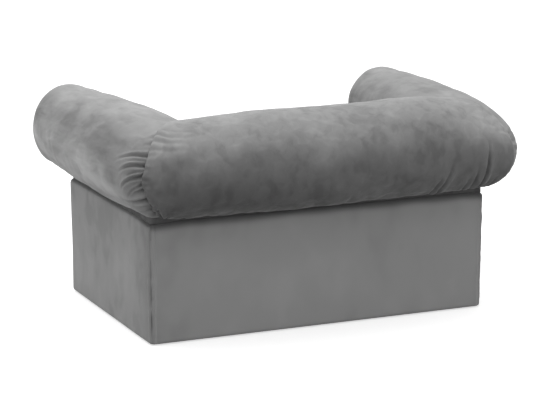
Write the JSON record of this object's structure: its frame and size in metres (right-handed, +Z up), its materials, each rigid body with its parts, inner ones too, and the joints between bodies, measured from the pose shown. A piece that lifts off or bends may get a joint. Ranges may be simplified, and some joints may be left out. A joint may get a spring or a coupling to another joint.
{
  "type": "dog sofa bed",
  "caption": "Upholstered box base with a three-sided rolled bolster, a loose seat cushion and a padded bed section that pulls out of the front.",
  "frame": {"origin": "on the floor, under the middle of the whole bed's outline", "axes": "+Z up, +Y towards the back roll, +X towards the arm on the right as seen from the open front"},
  "size_m": [0.7486, 0.5713, 0.383],
  "materials": {
    "velvet": "short plush pile, mottled where the nap lies",
    "webbing": "flat woven webbing",
    "dust_cloth": "thin non-woven cloth",
    "foam": "open-cell foam",
    "plywood": "sanded, unvarnished",
    "pine": "planed, unvarnished",
    "hardwood": "planed and waxed",
    "screw_steel": "zinc plated",
    "glide_plastic": "moulded",
    "zip_nylon": "woven tape with nylon coil teeth",
    "slider_metal": "dark enamel"
  },
  "bodies": {
    "carcass": {"bottom_panel": "plywood", "left_side_panel": "plywood", "right_side_panel": "plywood", "back_panel": "plywood", "front_rail": "pine", "seat_deck": "plywood", "left_arm_board": "plywood", "right_arm_board": "plywood", "back_board": "plywood", "side_cleats": "pine", "back_cleat": "pine", "glue_blocks": "pine", "left_runner": "hardwood", "right_runner": "hardwood", "drawer_stops": "hardwood", "carcass_screws": "screw_steel", "board_screws": "screw_steel", "cleat_screws": "screw_steel", "deck_screws": "screw_steel", "runner_screws": "screw_steel", "glides": "glide_plastic", "dust_cover": "dust_cloth", "left_base_cover": "velvet", "right_base_cover": "velvet", "back_base_cover": "velvet", "deck_cover": "velvet", "left_foam_wrap": "foam", "right_foam_wrap": "foam", "back_foam_wrap": "foam", "left_arm_roll": "velvet", "right_arm_roll": "velvet", "back_roll": "velvet"},
    "pull_out": {"drawer_front": "plywood", "drawer_left_side": "plywood", "drawer_right_side": "plywood", "drawer_back": "plywood", "drawer_bottom": "plywood", "drawer_dowels": "hardwood", "drawer_screws": "screw_steel", "drawer_front_cover": "velvet", "bed_pad": "velvet", "pull_tab": "webbing", "tab_plate": "screw_steel", "tab_screws": "screw_steel"},
    "seat_cushion": {"cushion_foam": "foam", "cushion_cover": "velvet", "cushion_zip": "zip_nylon"},
    "slider": {"zip_slider": "slider_metal"}
  },
  "joints": [
    {"name": "pull_out_slide", "type": "slide", "parent": "carcass", "child": "pull_out", "axis": [0, -1, 0], "range_m": [0, 0.24]},
    {"name": "cushion_lift", "type": "slide", "parent": "carcass", "child": "seat_cushion", "axis": [0, 0, 1], "range_m": [0, 0.2]},
    {"name": "zip_slide", "type": "slide", "parent": "seat_cushion", "child": "slider", "axis": [1, 0, 0], "range_m": [0, 0.226]}
  ]
}
